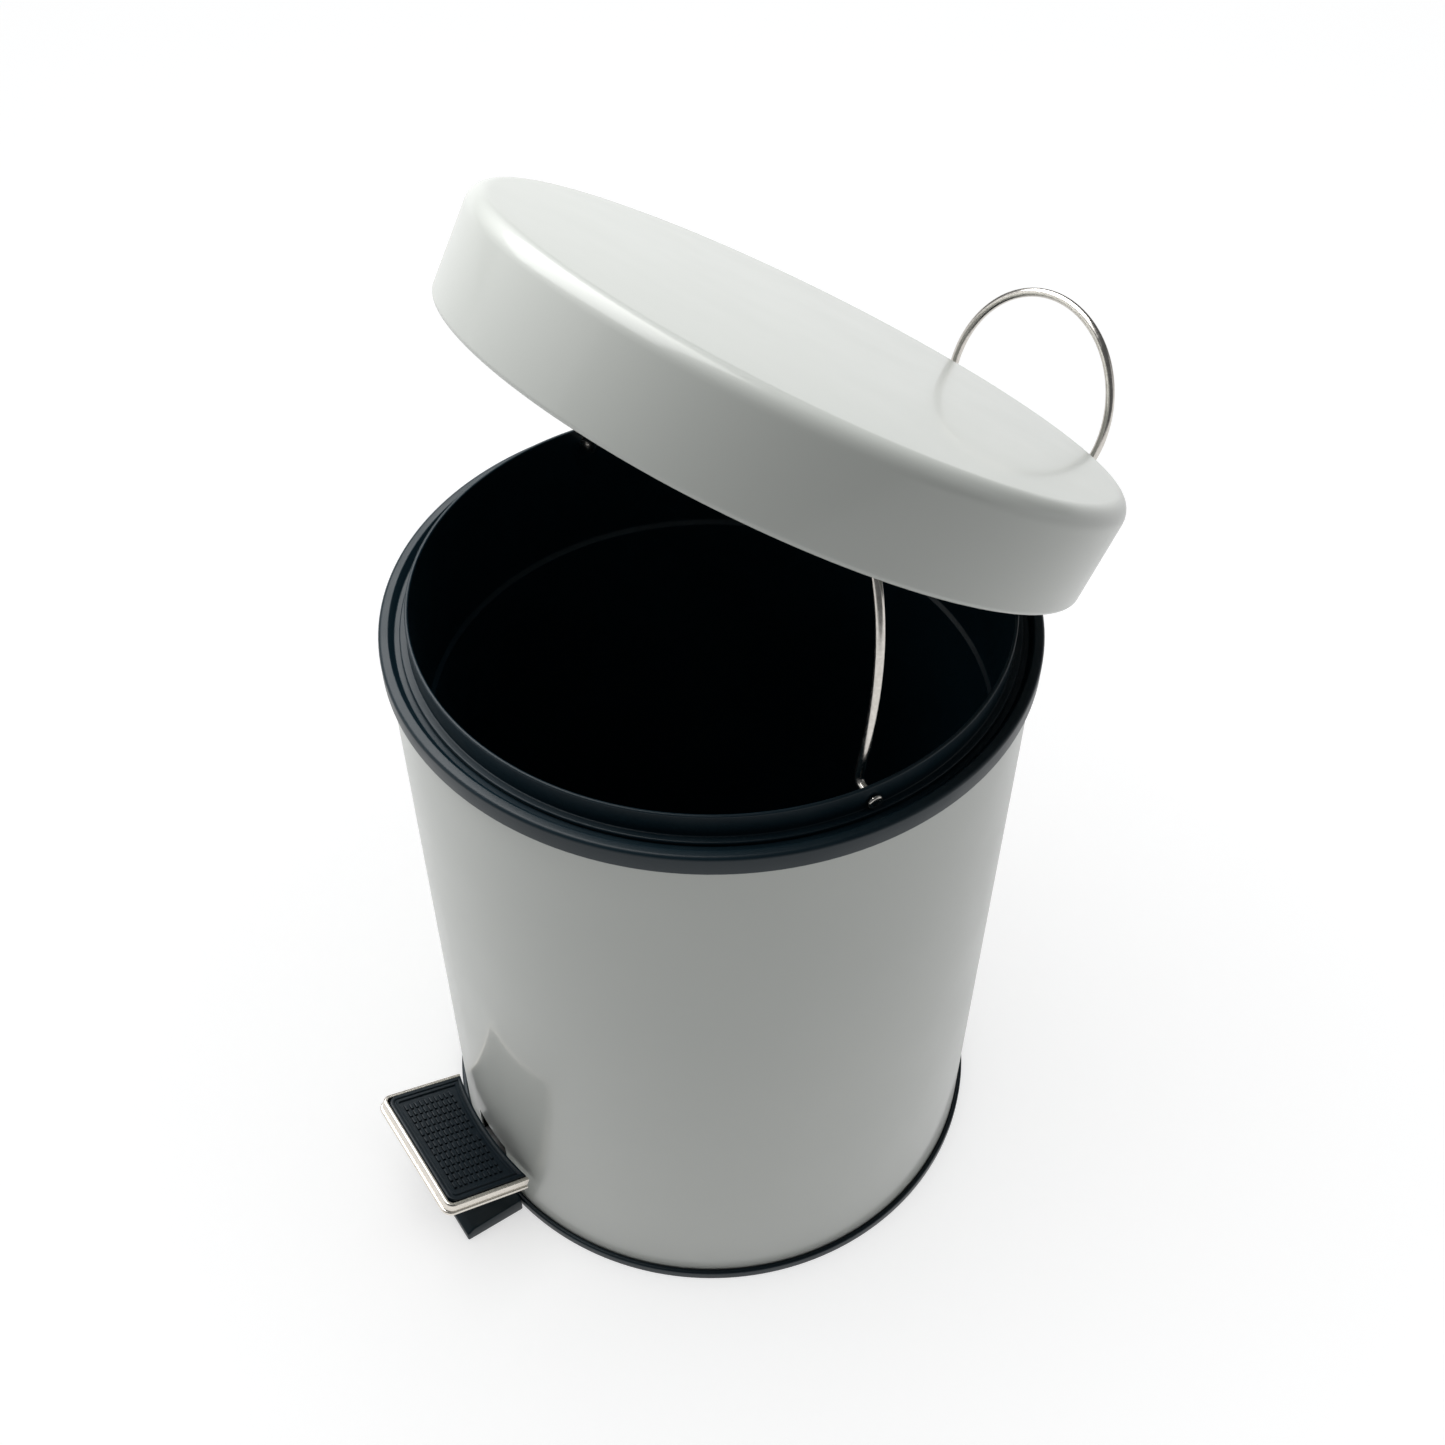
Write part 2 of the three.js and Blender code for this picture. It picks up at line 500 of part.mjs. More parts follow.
add(bin, 'outer_shell', outerShell(), FINISH.paint);
add(bin, 'base', base(), FINISH.plastic);
add(bin, 'top_ring', topRing(), FINISH.plastic);
add(bin, 'inner_bucket', innerBucket(), FINISH.plastic);
add(bin, 'hinge_bracket', hingeBracket(), FINISH.plastic);
add(bin, 'hinge_pin', hingePin(), FINISH.zinc);
add(bin, 'bracket_screw_left', bracketScrew(SCREW_XS[0]), FINISH.zinc);
add(bin, 'bracket_screw_right', bracketScrew(SCREW_XS[1]), FINISH.zinc);
add(bin, 'handle_loop', handleLoop(), FINISH.wire);
add(bin, 'rod_guide', rodGuide(), FINISH.plastic);
add(bin, 'rod_guide_rivet', rodGuideRivet(), FINISH.zinc);
add(bin, 'lever_axle', leverAxle(), FINISH.zinc);

add(lid, 'lid_shell', lidShell(), FINISH.paint);
add(lid, 'lid_hinge_plate', lidHingePlate(), FINISH.zinc);
add(lid, 'lid_rivet_front', lidRivet(LID_RIVET_YS[0]), FINISH.zinc);
add(lid, 'lid_rivet_rear', lidRivet(LID_RIVET_YS[1]), FINISH.zinc);
for (const mesh of lid.children) mesh.position.set(0, -HINGE.y, -HINGE.z);
lid.position.set(0, HINGE.y, HINGE.z);
lid.rotation.x = -LID_OPEN;
bin.add(lid);

add(bin, 'bucket_bail', bucketBail(), FINISH.wire);

add(bin, 'pedal_tray', pedalTray(), FINISH.stainless);
add(bin, 'pedal_pad', pedalPad(), FINISH.rubber);
add(bin, 'pedal_lever', pedalLever(), FINISH.zinc);
add(bin, 'pedal_rivet_left', pedalRivet(PEDAL_RIVET_XS[0]), FINISH.zinc);
add(bin, 'pedal_rivet_right', pedalRivet(PEDAL_RIVET_XS[1]), FINISH.zinc);
add(bin, 'lift_rod', liftRod(), FINISH.wire);

export default bin;
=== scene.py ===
# Looks of a five litre pedal bin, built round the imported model: painted steel shell and lid, black plastic
# base, rim ring and bucket, bright wire bail and rear loop, stainless foot plate with a ribbed rubber pad.
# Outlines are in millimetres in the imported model's frame; meshes are in metres.
import json
import math

import bmesh
import bpy
from mathutils import Matrix, Vector


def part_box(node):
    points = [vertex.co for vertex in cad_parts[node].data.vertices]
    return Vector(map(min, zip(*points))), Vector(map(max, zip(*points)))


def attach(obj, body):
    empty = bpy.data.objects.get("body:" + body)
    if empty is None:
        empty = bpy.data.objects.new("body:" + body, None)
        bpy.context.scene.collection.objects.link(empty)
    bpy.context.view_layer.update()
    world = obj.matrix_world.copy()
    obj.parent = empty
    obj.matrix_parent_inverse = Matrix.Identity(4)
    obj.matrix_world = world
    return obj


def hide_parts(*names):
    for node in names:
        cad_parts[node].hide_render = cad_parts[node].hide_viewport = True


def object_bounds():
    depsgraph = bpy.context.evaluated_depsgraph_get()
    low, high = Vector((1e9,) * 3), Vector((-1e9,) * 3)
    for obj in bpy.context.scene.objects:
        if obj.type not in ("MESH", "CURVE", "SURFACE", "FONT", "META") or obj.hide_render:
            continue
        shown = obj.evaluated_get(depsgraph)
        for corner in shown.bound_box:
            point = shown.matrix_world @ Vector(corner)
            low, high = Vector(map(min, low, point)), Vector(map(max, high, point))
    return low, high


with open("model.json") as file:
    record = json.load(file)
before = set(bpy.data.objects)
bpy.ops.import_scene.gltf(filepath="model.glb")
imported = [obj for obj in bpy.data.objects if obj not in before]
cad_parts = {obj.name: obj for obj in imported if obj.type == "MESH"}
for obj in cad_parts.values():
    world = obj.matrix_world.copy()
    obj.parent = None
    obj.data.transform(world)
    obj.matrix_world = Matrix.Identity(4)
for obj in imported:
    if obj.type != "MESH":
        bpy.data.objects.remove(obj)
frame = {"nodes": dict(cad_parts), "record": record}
cad_low, cad_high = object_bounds()

MM = 0.001


def reach(node):
    """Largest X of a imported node, in millimetres: the radius of a turned one."""
    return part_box(node)[1].x / MM


def heights(node):
    """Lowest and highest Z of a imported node, in millimetres."""
    low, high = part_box(node)
    return low.z / MM, high.z / MM


def joint(name):
    """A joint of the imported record."""
    return next(row for row in frame["record"]["behaviour"]["joints"] if row["name"] == name)


# Sizes of the turned pieces
TURNED_SEGMENTS = 192
SHEET = 0.6
GAP = 0.3
SHELL_R = reach("outer_shell")
SHELL_LOW, SHELL_TOP = heights("outer_shell")
SHELL_IN = SHELL_R - SHEET
LEVER_SLOT = (-10, 10, -SHELL_R - 5, -SHELL_R + 10, 7, 28)
SHELL_NOTCH = (-9, 9, SHELL_R - 8, SHELL_R + 5, 226, SHELL_TOP + 5)

BASE_R = reach("base")
BASE_LIP = 4.0
BASE_PAD_R = 14
BASE_RING_IN = 92
BASE_RECESS = 1.2
BASE_WALL = 1.6
BASE_WALL_TOP = 9
FLOOR_TOP = 3.0
POST_SPAN = (9, 13)
WAY_HALF = 10.5
WAY_OUTSIDE = 3.5
WAY_INSIDE = 6
WAY_HEIGHTS = (FLOOR_TOP + 2, 20)
TONGUE_HALF = 21.2
TONGUE_REACH = 125.0
TONGUE_TOP = 7.0

RING_R = reach("top_ring")
RING_LEG, RING_TOP = heights("top_ring")
RING_LOW = 237.4
RING_SHELF = 242.0
RING_SHELF_DEPTH = 1.8
RING_LIP_IN = 99.4
RING_STEP_R = 98.0
RING_LEG_IN = 97.6
RING_BORE = 94.6
RING_NOTCH = (-9, 9, 85, 110, 220, 260)

BUCKET_LOW, COLLAR_TOP = heights("inner_bucket")
FLANGE_R = reach("inner_bucket")
COLLAR_R = FLANGE_R - 2.4
FLANGE_DEPTH = 1.2
FLANGE_GAP_HALF = 7
BUCKET_WALL = 1.2
BUCKET_FLOOR = 1.6
BUCKET_STEP = 200.0
BUCKET_STEP_R = 92.6
BUCKET_STEP_IN = 91.2
BUCKET_STEP_RISE = 3
BUCKET_FOOT_R = 84.0

LID_TOP_R = reach("lid_shell")
LID_R = LID_TOP_R - 0.5
LID_HEIGHT = 31.6
LID_EDGE = 244.9
LID_CORNER = 5.6
LID_HEM = 3.4
HINGE = Vector(joint("lid_hinge")["pos_m"])
LID_OPEN = -math.radians(joint("lid_hinge")["range_deg"][0])

# Sizes of the wires
BAIL_AXIS = Vector(joint("bail_swing")["axis"]) * -1
BAIL_PIVOT = joint("bail_swing")["pos_m"][2] / MM
BAIL_LEAN = math.radians(82)
BAIL_HALF = 85.5
BAIL_HEIGHT = 89.0
BAIL_SQUARENESS = 2.9
BAIL_END = 95.4
BAIL_WIRE = 1.4
BAIL_HEAD = 2.4
BAIL_HOLE_SPAN = (85, 100)
BAIL_HOLE_R = BAIL_WIRE + 0.4
WIRE_SIDES = 24
WIRE_END_EASE = 0.35

LOOP_FOOT = (0, 124.0, 225.0)
LOOP_LEAN = math.radians(19.5)
LOOP_CENTRE = 38.5
LOOP_HALF_WIDTH = 33.2
LOOP_HALF_HEIGHT = 34.8
LOOP_FOOT_X = 17.0
LOOP_FOOT_BEND = 5.5
LOOP_FOOT_DEPTH = -6
LOOP_WIRE = 1.5

# Sizes of the foot plate, lying flat before it is tilted
PEDAL_HALF = 28.0
PEDAL_FRONT = -133.9
PEDAL_REAR_R = 103.2
PEDAL_TOP = 31.0
PEDAL_TURN_Y = -102.0
PEDAL_TILT = math.radians(19.8)
PEDAL_DEPTH = 5.2
PLATE_CORNER = 4.0
PLATE_REAR_STEPS = 24
PAD_INSET = 2.3
PAD_CORNER = 6.0
PAD_THICK = 1.3
RIB_ROWS = 13
RIB_COLUMNS = range(-6, 7)
RIB_STEP = (3.2, 2.1)
RIB_FIRST = 4.9
RIB_REAR_MARGIN = 4.6
RIB_SIZE = (2.6 * MM, 1.25 * MM, 1.3 * MM)

# The base and the pedal sit a little turned in the shell, as their joint's axis says.
PEDAL_AXIS = Vector(joint("pedal_press")["axis"])
ASKEW = Matrix.Rotation(math.atan2(PEDAL_AXIS.y, PEDAL_AXIS.x), 4, "Z")
AXLE_Y = 35.0
AXLE_Z = joint("pedal_press")["pos_m"][2] / MM


# Outlines and plain meshes

def rounded(corners, closed=True):
    """Points (x, y, fillet radius) as an outline whose corners are arcs."""
    points = []
    count = len(corners)
    for i, (x, y, radius) in enumerate(corners):
        corner = Vector((x, y))
        if radius == 0 or (not closed and i in (0, count - 1)):
            points.append(corner)
            continue
        before = Vector(corners[i - 1][:2]) - corner
        after = Vector(corners[(i + 1) % count][:2]) - corner
        points.extend(fillet(corner, before, after, radius))
    return points


def fillet(corner, before, after, radius):
    """An arc that replaces a corner between the directions to its two neighbours."""
    half = before.angle(after) / 2
    room = 0.49 * min(before.length, after.length)
    tangent = min(radius / math.tan(half), room)
    radius = tangent * math.tan(half)
    centre = corner + (before.normalized() + after.normalized()).normalized() * (radius / math.sin(half))
    start = corner + before.normalized() * tangent - centre
    end = corner + after.normalized() * tangent - centre
    sweep = start.angle_signed(end)
    steps = max(2, math.ceil(abs(sweep) / math.radians(12)))
    return [centre + Matrix.Rotation(-sweep * k / steps, 2) @ start for k in range(steps + 1)]


def new_piece(name, vertices, edges, faces):
    """An object with the given mesh, in metres, at the origin."""
    mesh = bpy.data.meshes.new(name)
    mesh.from_pydata(vertices, edges, faces)
    piece = bpy.data.objects.new(name, mesh)
    bpy.context.scene.collection.objects.link(piece)
    return piece


def chain(name, points, closed):
    """A piece that is only a line through the points, in metres."""
    edges = [(i, i + 1) for i in range(len(points) - 1)]
    if closed:
        edges.append((len(points) - 1, 0))
    return new_piece(name, [Vector(point) * MM for point in points], edges, [])


def settle(piece):
    """Makes the result of the piece's modifiers its own plain mesh."""
    bpy.context.view_layer.update()
    graph = bpy.context.evaluated_depsgraph_get()
    mesh = bpy.data.meshes.new_from_object(piece.evaluated_get(graph))
    piece.modifiers.clear()
    piece.data = mesh
    return piece


def smooth(piece, sharp_degrees=35):
    """Turns faces outwards and shades them smooth between sharp edges."""
    mesh = bmesh.new()
    mesh.from_mesh(piece.data)
    bmesh.ops.remove_doubles(mesh, verts=mesh.verts, dist=1e-7)
    bmesh.ops.recalc_face_normals(mesh, faces=mesh.faces)
    mesh.to_mesh(piece.data)
    mesh.free()
    piece.data.shade_smooth()
    piece.data.set_sharp_from_angle(angle=math.radians(sharp_degrees))
    return piece


def bevelled(piece, width, degrees=40, segments=3):
    """Rounds the piece's sharp edges by a width in millimetres."""
    bevel = piece.modifiers.new("bevel", "BEVEL")
    bevel.width = width * MM
    bevel.segments = segments
    bevel.limit_method = "ANGLE"
    bevel.angle_limit = math.radians(degrees)
    bevel.use_clamp_overlap = True
    return smooth(settle(piece))


def block(name, x0, x1, y0, y1, z0, z1):
    """A box between corners in millimetres."""
    vertices = [Vector((x, y, z)) * MM for x in (x0, x1) for y in (y0, y1) for z in (z0, z1)]
    faces = [(0, 1, 3, 2), (4, 6, 7, 5), (0, 4, 5, 1), (2, 3, 7, 6), (0, 2, 6, 4), (1, 5, 7, 3)]
    return smooth(new_piece(name, vertices, [], faces))


def side_profile(name, outline, x0, x1):
    """A (y, z) outline in millimetres extruded across X."""
    count = len(outline)
    vertices = [Vector((x, y, z)) * MM for x in (x0, x1) for y, z in outline]
    ends = [tuple(range(count)), tuple(reversed(range(count, 2 * count)))]
    sides = [(i, i + count, (i + 1) % count + count, (i + 1) % count) for i in range(count)]
    return smooth(new_piece(name, vertices, [], ends + sides))


def round_bar(name, start, end, radius, sides=32):
    """A plain cylinder between two points in millimetres."""
    start, end = Vector(start) * MM, Vector(end) * MM
    turn = (end - start).to_track_quat("Z", "Y").to_matrix().to_4x4()
    mesh = bmesh.new()
    place = Matrix.Translation((start + end) / 2) @ turn
    bmesh.ops.create_cone(mesh, cap_ends=True, segments=sides, radius1=radius * MM, radius2=radius * MM,
                          depth=(end - start).length, matrix=place)
    piece = new_piece(name, [], [], [])
    mesh.to_mesh(piece.data)
    mesh.free()
    return smooth(piece)


def askew(piece):
    """Turns a piece with the base and the pedal."""
    piece.data.transform(ASKEW)
    return piece


def combine(piece, operation, tools):
    """Cuts the tools from the piece, or joins them to it, and deletes them."""
    for tool in tools:
        boolean = piece.modifiers.new("boolean", "BOOLEAN")
        boolean.operation = operation
        boolean.solver = "EXACT"
        boolean.object = tool
    settle(piece)
    for tool in tools:
        bpy.data.objects.remove(tool)
    return smooth(piece)


def dress(piece, finish, slot, body, *nodes):
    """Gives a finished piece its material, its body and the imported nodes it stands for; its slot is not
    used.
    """
    piece.data.materials.clear()
    piece.data.materials.append(finish)
    piece.data.polygons.foreach_set("material_index", [0] * len(piece.data.polygons))
    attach(piece, body)
    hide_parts(*nodes)
    return piece


# Nodes

class Value:
    """A number or colour that varies over a surface; arithmetic on it adds Math nodes."""

    def __init__(self, nodes, socket):
        self.nodes = nodes
        self.socket = socket

    def math(self, operation, first, second):
        return self.nodes.node("ShaderNodeMath", {"operation": operation}, {0: first, 1: second})

    def __add__(self, other):
        return self.math("ADD", self, other)

    def __radd__(self, other):
        return self.math("ADD", other, self)

    def __mul__(self, other):
        return self.math("MULTIPLY", self, other)

    def __rmul__(self, other):
        return self.math("MULTIPLY", other, self)


class Nodes:
    """A node tree, for a material or for geometry, whose nodes all come from node()."""

    def __init__(self, tree):
        self.tree = tree

    def node(self, kind, settings=None, sockets=None, output=0):
        """A node of a kind, with its settings and then its sockets' values or links; returns one output."""
        made = self.tree.nodes.new(kind)
        for name, setting in (settings or {}).items():
            if name == "stops":
                self.set_stops(made.color_ramp, setting)
            else:
                setattr(made, name, setting)
        for name, value in (sockets or {}).items():
            self.feed(made.inputs[name], value)
        return Value(self, made.outputs[output])

    def feed(self, socket, value):
        if isinstance(value, Value):
            self.tree.links.new(value.socket, socket)
        else:
            socket.default_value = value

    @staticmethod
    def set_stops(ramp, stops):
        while len(ramp.elements) < len(stops):
            ramp.elements.new(1.0)
        for element, (position, level) in zip(ramp.elements, stops):
            element.position = position
            element.color = (level, level, level, 1)


class Shape(Nodes):
    """A geometry tree with named inputs, which ends in Realize Instances and Set Material."""

    def __init__(self, name, inputs):
        super().__init__(bpy.data.node_groups.new(name, "GeometryNodeTree"))
        self.identifiers = {}
        for socket_name, kind in {"Geometry": "Geometry", **inputs, "Material": "Material"}.items():
            made = self.tree.interface.new_socket(
                socket_name, in_out="INPUT", socket_type="NodeSocket" + kind)
            self.identifiers[socket_name] = made.identifier
        self.tree.interface.new_socket("Geometry", in_out="OUTPUT", socket_type="NodeSocketGeometry")
        self.inputs = self.tree.nodes.new("NodeGroupInput").outputs

    def given(self, name):
        return Value(self, self.inputs[name])

    def end(self, geometry):
        plain = self.node("GeometryNodeRealizeInstances", {}, {"Geometry": geometry})
        painted = self.node("GeometryNodeSetMaterial", {}, {
            "Geometry": plain, "Material": self.given("Material")})
        output = self.tree.nodes.new("NodeGroupOutput")
        self.feed(output.inputs["Geometry"], painted)

    def apply(self, piece, finish, **values):
        """Runs the tree on a piece and keeps the result as its plain mesh."""
        modifier = piece.modifiers.new("shape", "NODES")
        modifier.node_group = self.tree
        for name, value in {**values, "Material": finish}.items():
            modifier[self.identifiers[name.replace("_", " ")]] = value
        return smooth(settle(piece))


# Materials

class Finish(Nodes):
    """A material with one Principled shader; constants go straight on the shader's sockets."""

    def __init__(self, name, constants):
        self.material = bpy.data.materials.new(name)
        self.material.use_nodes = True
        super().__init__(self.material.node_tree)
        self.shader = self.tree.nodes["Principled BSDF"]
        for socket, value in constants.items():
            self.shader.inputs[socket].default_value = value

    def set(self, socket, value):
        self.feed(self.shader.inputs[socket], value)

    def place(self, stretch=(1, 1, 1)):
        """Object coordinates, stretched."""
        coordinates = self.node("ShaderNodeTexCoord", {}, {}, "Object")
        return self.node("ShaderNodeMapping", {}, {"Vector": coordinates, "Scale": stretch})

    def noise(self, scale, detail=2.0, stretch=(1, 1, 1)):
        """Soft noise, 0 to 1, with scale features to the metre."""
        return self.node("ShaderNodeTexNoise", {}, {
            "Vector": self.place(stretch), "Scale": scale, "Detail": detail})

    def spread(self, value, low, high):
        """A 0 to 1 value mapped to low to high, with the noise's dull middle opened out."""
        return self.node("ShaderNodeMapRange", {}, {
            "Value": value, "From Min": 0.3, "From Max": 0.7, "To Min": low, "To Max": high})

    def blend_colours(self, amount, first, second):
        mix = self.tree.nodes.new("ShaderNodeMix")
        mix.data_type = "RGBA"
        self.feed(mix.inputs["Factor"], amount)
        mix.inputs[6].default_value = (*first, 1)
        mix.inputs[7].default_value = (*second, 1)
        return Value(self, mix.outputs[2])

    def relief(self, height, depth):
        """Feeds a height, 0 to 1, to the shader's normal; depth is in millimetres."""
        bump = self.node("ShaderNodeBump", {}, {"Height": height, "Distance": depth * MM, "Strength": 1.0})
        self.set("Normal", bump)


def painted_steel():
    """Light grey baked paint with a soft gloss and a very fine orange peel."""
    finish = Finish("light_grey_paint", {
        "Coat Weight": 0.28, "Coat Roughness": 0.09, "Specular IOR Level": 0.3})
    clouds = finish.spread(finish.noise(9, 3), 0, 1)
    finish.set("Base Color", finish.blend_colours(
        clouds, (0.440, 0.457, 0.434), (0.458, 0.473, 0.448)))
    finish.set("Roughness", finish.spread(finish.noise(40, 4), 0.33, 0.38))
    finish.relief(finish.noise(420, 1) * 0.8 + finish.noise(1900, 1) * 0.2, 0.003)
    return finish.material


def black_plastic():
    """Satin moulded plastic with a fine spark grain and a slight cold tint."""
    finish = Finish("black_moulded_plastic", {"Specular IOR Level": 0.26})
    patches = finish.spread(finish.noise(30, 3), 0, 1)
    finish.set("Base Color", finish.blend_colours(
        patches, (0.0020, 0.0105, 0.0165), (0.0034, 0.0135, 0.0205)))
    finish.set("Roughness", finish.spread(finish.noise(65, 4), 0.34, 0.42))
    finish.relief(finish.noise(1600, 2), 0.02)
    return finish.material


def black_rubber():
    """Matt rubber, a little dusty on its flats."""
    finish = Finish("black_rubber_pad", {"Specular IOR Level": 0.32})
    dust = finish.spread(finish.noise(120, 5), 0, 1)
    finish.set("Base Color", finish.blend_colours(
        dust, (0.0012, 0.0058, 0.0100), (0.0026, 0.0084, 0.0136)))
    finish.set("Roughness", finish.spread(finish.noise(200, 3), 0.36, 0.46))
    finish.relief(finish.noise(2600, 2), 0.03)
    return finish.material


def bright_wire():
    """Drawn steel wire with a warm tint and fine drawing marks."""
    finish = Finish("bright_drawn_wire", {"Metallic": 1.0})
    marks = finish.noise(900, 3)
    finish.set("Base Color", finish.blend_colours(
        finish.spread(marks, 0, 1), (0.56, 0.53, 0.49), (0.66, 0.63, 0.59)))
    finish.set("Roughness", finish.spread(finish.noise(500, 3), 0.16, 0.26))
    finish.relief(marks, 0.006)
    return finish.material


def stainless():
    """Polished stainless sheet, brushed lightly along the foot plate's width."""
    finish = Finish("stainless_sheet", {"Metallic": 1.0})
    brushed = finish.noise(1.0, 4, (60, 4200, 4200))
    finish.set("Base Color", finish.blend_colours(
        finish.spread(brushed, 0, 1), (0.70, 0.65, 0.58), (0.80, 0.76, 0.70)))
    finish.set("Roughness", finish.spread(finish.noise(1.0, 3, (90, 2400, 2400)), 0.20, 0.32))
    finish.relief(brushed, 0.002)
    return finish.material


def zinc_plate():
    """Zinc plated steel with a faint mottle."""
    finish = Finish("zinc_plated_steel", {"Metallic": 1.0})
    mottle = finish.spread(finish.noise(260, 4), 0, 1)
    finish.set("Base Color", finish.blend_colours(mottle, (0.40, 0.41, 0.42), (0.52, 0.53, 0.53)))
    finish.set("Roughness", finish.spread(finish.noise(180, 3), 0.34, 0.50))
    finish.relief(finish.noise(1400, 2), 0.010)
    return finish.material


def pale_floor():
    """Matt white sheet, lit a little from below."""
    finish = Finish("pale_floor", {"Specular IOR Level": 0.0, "Roughness": 0.9, "Emission Strength": 0.5})
    finish.set("Base Color", finish.blend_colours(
        finish.noise(2, 2), (0.640, 0.640, 0.640), (0.644, 0.644, 0.644)))
    finish.shader.inputs["Emission Color"].default_value = (1, 1, 1, 1)
    return finish.material


# Shapes that follow a rule, as geometry trees

def turning_tree():
    """Turns a line of (radius - Core, -height) points round the Z axis."""
    shape = Shape("turned_outline", {"Core": "Float", "Segments": "Int", "Merge Distance": "Float"})
    outline = shape.node("GeometryNodeMeshToCurve", {}, {"Mesh": shape.given("Geometry")})
    circle = shape.node("GeometryNodeCurvePrimitiveCircle", {"mode": "RADIUS"}, {
        "Resolution": shape.given("Segments"), "Radius": shape.given("Core")})
    swept = shape.node("GeometryNodeCurveToMesh", {}, {"Curve": circle, "Profile Curve": outline})
    merged = shape.node("GeometryNodeMergeByDistance", {}, {
        "Geometry": swept, "Distance": shape.given("Merge Distance")})
    shape.end(merged)
    return shape


def wire_tree():
    """A round wire along a line, with closed ends."""
    shape = Shape("wire_along_line", {"Wire Radius": "Float", "Sides": "Int"})
    path = shape.node("GeometryNodeMeshToCurve", {}, {"Mesh": shape.given("Geometry")})
    section = shape.node("GeometryNodeCurvePrimitiveCircle", {"mode": "RADIUS"}, {
        "Resolution": shape.given("Sides"), "Radius": shape.given("Wire Radius")})
    shape.end(shape.node("GeometryNodeCurveToMesh", {}, {
        "Curve": path, "Profile Curve": section, "Fill Caps": True}))
    return shape


def rib_tree():
    """Small rounded ribs on the points of a mesh."""
    shape = Shape("pad_ribs", {"Rib Size": "Vector", "Corner Crease": "Float"})
    cube = shape.node("GeometryNodeMeshCube", {}, {"Size": shape.given("Rib Size")})
    rib = shape.node("GeometryNodeSubdivisionSurface", {}, {
        "Mesh": cube, "Level": 2, "Edge Crease": shape.given("Corner Crease")})
    shape.end(shape.node("GeometryNodeInstanceOnPoints", {}, {
        "Points": shape.given("Geometry"), "Instance": rib}))
    return shape


def turned(tree, name, outline, closed=True):
    """A turned piece from (radius, height) points in millimetres."""
    core = 50.0
    line = chain(name, [(radius - core, -height, 0) for radius, height in outline], closed)
    return tree.apply(line, None, Core=core * MM, Segments=TURNED_SEGMENTS, Merge_Distance=1e-6)


# Pieces of the bin

def shell(tree, paint):
    """Painted tube with softened edges, the lever's slot in front and the notch for the lid behind."""
    tube = turned(tree, "shell_tube", rounded([
        (SHELL_IN, SHELL_LOW, 0.2), (SHELL_R, SHELL_LOW, 0.2),
        (SHELL_R, SHELL_TOP, 0.2), (SHELL_IN, SHELL_TOP, 0.2)]))
    cutters = [askew(block("slot_cutter", *LEVER_SLOT)), block("notch_cutter", *SHELL_NOTCH)]
    return dress(combine(tube, "DIFFERENCE", cutters), paint, "paint", "bin", "outer_shell")


def foot_base(tree, plastic):
    """Base dish with a groove for the shell, the tongue under the pedal and the two posts of the axle."""
    inner = SHELL_IN - GAP
    groove = SHELL_R + GAP
    dish = turned(tree, "base_dish", rounded([
        (0, 0, 0), (BASE_PAD_R, 0, 0.4), (BASE_PAD_R, BASE_RECESS, 0.3), (BASE_RING_IN, BASE_RECESS, 0.3),
        (BASE_RING_IN, 0, 0.4), (BASE_R, 0, 0.5), (BASE_R, BASE_LIP, 0.9), (groove, BASE_LIP, 0.3),
        (groove, SHELL_LOW - GAP, 0), (inner, SHELL_LOW - GAP, 0), (inner, BASE_WALL_TOP, 0.5),
        (inner - BASE_WALL, BASE_WALL_TOP, 0.4), (inner - BASE_WALL, FLOOR_TOP, 1.0), (0, FLOOR_TOP, 0)],
        closed=False), closed=False)
    tongue = bevelled(side_profile("tongue", [
        (-SHELL_R - 0.7, 0), (-SHELL_R - 0.7, TONGUE_TOP), (-TONGUE_REACH + 3, TONGUE_TOP - 1),
        (-TONGUE_REACH, TONGUE_TOP - 3), (-TONGUE_REACH, 0)], -TONGUE_HALF, TONGUE_HALF), 0.6)
    near, far = POST_SPAN
    posts = [axle_post("post_left", -far, -near), axle_post("post_right", near, far)]
    joined = combine(dish, "UNION", [askew(piece) for piece in (tongue, *posts)])
    across = (-WAY_HALF, WAY_HALF)
    ways = [block("way_in_front", *across, -SHELL_R - WAY_OUTSIDE, -SHELL_R + WAY_INSIDE, *WAY_HEIGHTS),
            block("way_behind", *across, SHELL_R - WAY_INSIDE, SHELL_R + WAY_OUTSIDE, *WAY_HEIGHTS)]
    cut = combine(joined, "DIFFERENCE", [askew(piece) for piece in ways])
    return dress(cut, plastic, "black_plastic", "bin", "base")


def axle_post(name, x0, x1):
    """One rounded post that carries an end of the lever's axle."""
    outline = rounded([
        (AXLE_Y - 7, FLOOR_TOP - 1, 0), (AXLE_Y - 4.5, AXLE_Z + 4.5, 4.4), (AXLE_Y + 4.5, AXLE_Z + 4.5, 4.4),
        (AXLE_Y + 7, FLOOR_TOP - 1, 0)])
    return side_profile(name, outline, x0, x1)


